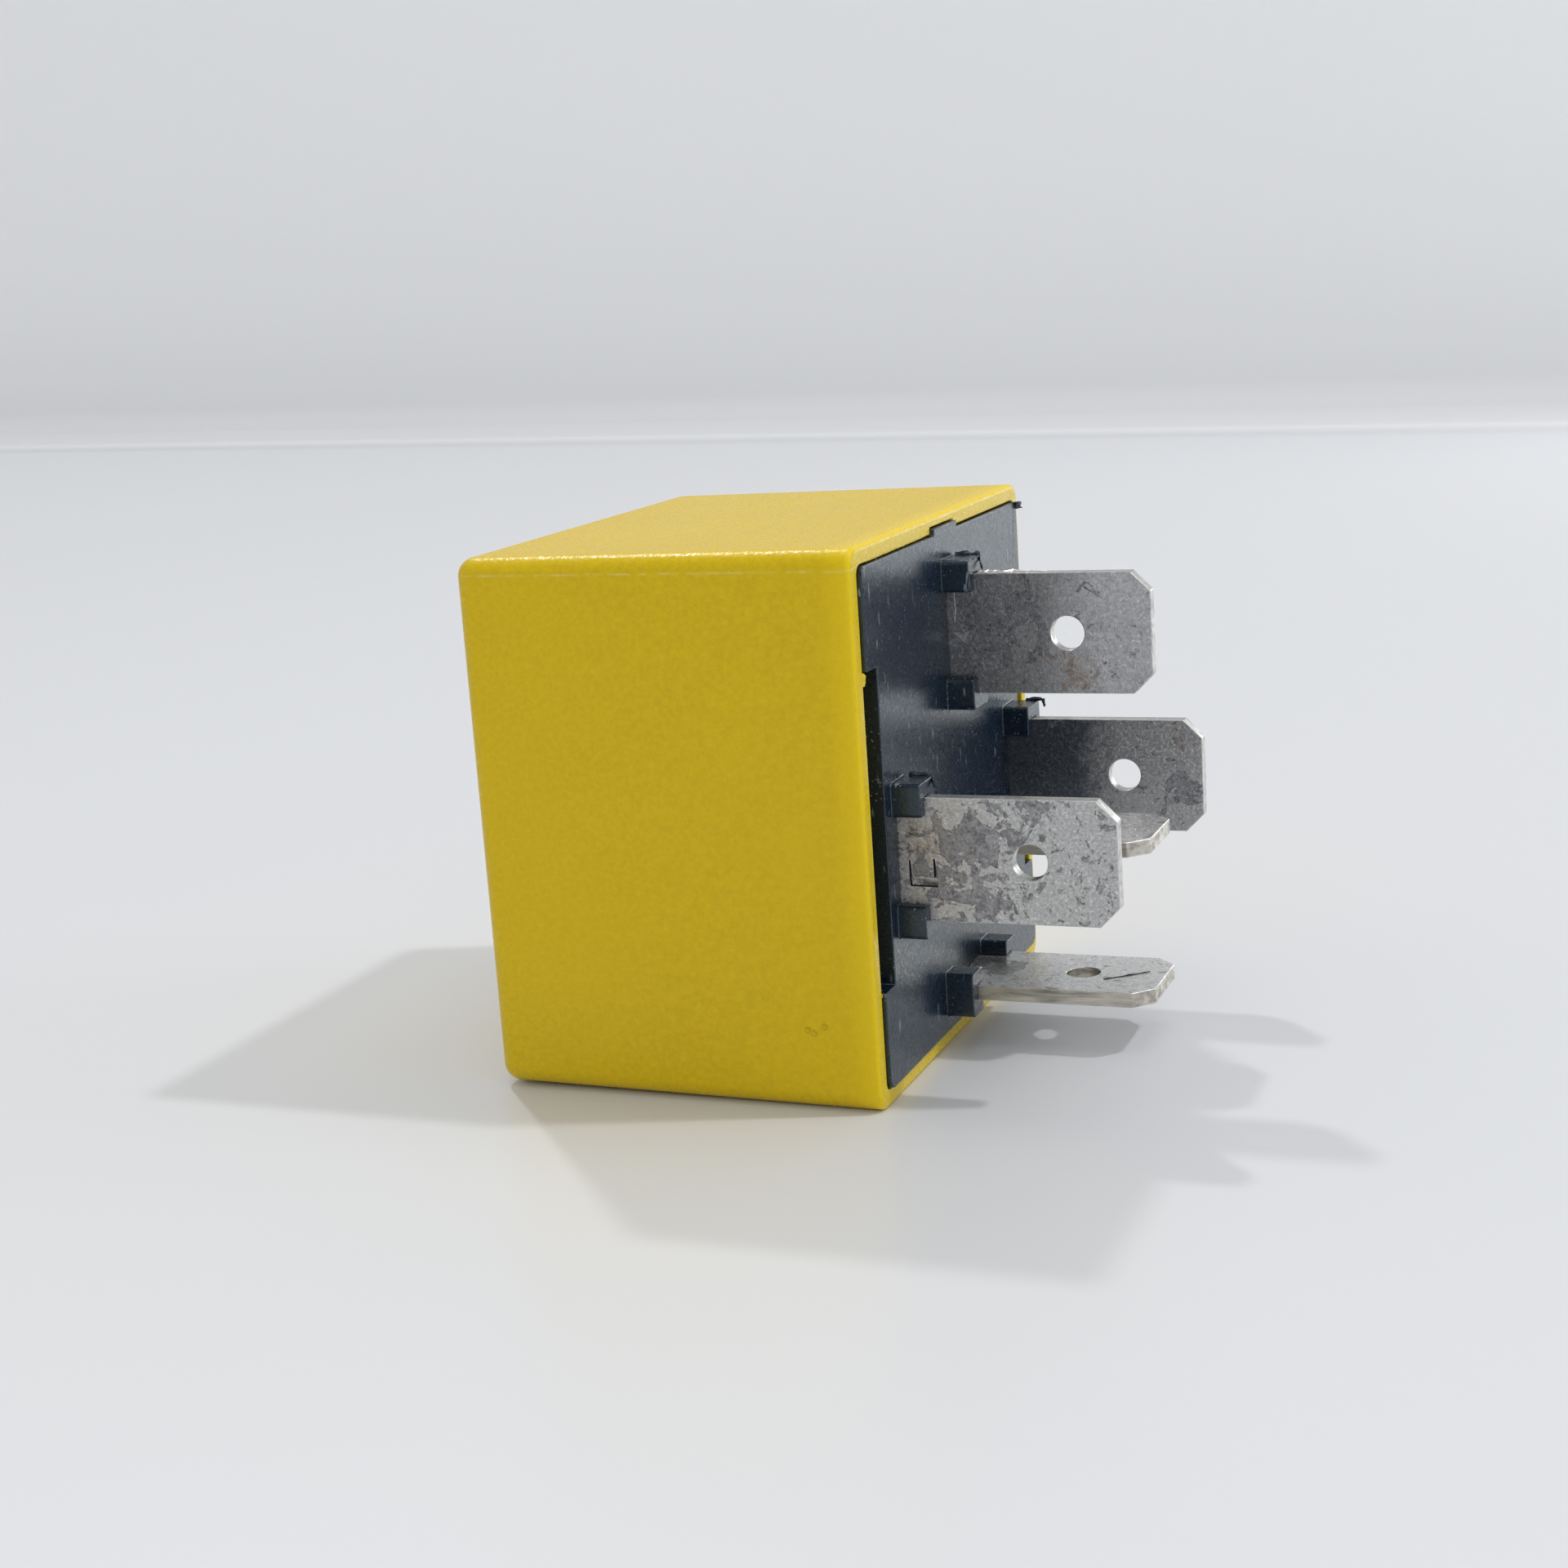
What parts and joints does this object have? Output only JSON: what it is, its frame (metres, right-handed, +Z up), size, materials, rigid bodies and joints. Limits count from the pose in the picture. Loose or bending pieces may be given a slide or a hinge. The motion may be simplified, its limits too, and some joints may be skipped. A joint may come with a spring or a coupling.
{
  "type": "automotive relay",
  "caption": "Square changeover relay with a yellow plastic housing, a dark base with guide bosses and flat blade terminals, and a hinged armature inside.",
  "frame": {"origin": "on the ground, under the middle of the relay's outline, with the relay lying on one side of its housing", "axes": "+X along the blades, out of the base; +Z up, from the make blade towards the common blade; +Y towards the far coil blade"},
  "size_m": [0.0326, 0.028, 0.028],
  "materials": {
    "housing": "satin yellow moulded plastic",
    "base": "dark slate moulded plastic with a faint sheen",
    "terminal_30": "tarnished plated brass",
    "terminal_85": "plated brass with mottled tarnish",
    "terminal_86": "tarnished plated brass",
    "terminal_87": "bright plated brass, scratched",
    "terminal_87a": "plated brass",
    "yoke": "plated soft iron",
    "core": "plated soft iron",
    "bobbin": "natural moulded plastic",
    "winding": "enamelled copper wire",
    "coil_tape": "film tape",
    "coil_solder": "solder",
    "armature": "plated soft iron",
    "contact_spring": "spring bronze",
    "moving_contact": "silver alloy",
    "make_contact": "silver alloy",
    "break_contact": "silver alloy",
    "armature_rivets": "plated steel",
    "yoke_rivets": "plated steel"
  },
  "bodies": {
    "relay": {"housing": "housing", "base": "base", "terminal_30": "terminal_30", "terminal_85": "terminal_85", "terminal_86": "terminal_86", "terminal_87": "terminal_87", "terminal_87a": "terminal_87a", "yoke": "yoke", "core": "core", "bobbin": "bobbin", "winding": "winding", "coil_tape": "coil_tape", "coil_solder": "coil_solder", "make_contact": "make_contact", "break_contact": "break_contact", "yoke_rivets": "yoke_rivets"},
    "armature": {"armature": "armature", "contact_spring": "contact_spring", "moving_contact": "moving_contact", "armature_rivets": "armature_rivets"}
  },
  "joints": [
    {"name": "armature_hinge", "type": "hinge", "parent": "relay", "child": "armature", "pos_m": [-0.01053, 0, 0.02565], "axis": [0, -1, 0], "range_deg": [0, 2.8], "stiffness_Nm_per_rad": 0.12, "springref_deg": -2.86, "deforming": ["contact_spring"]}
  ]
}
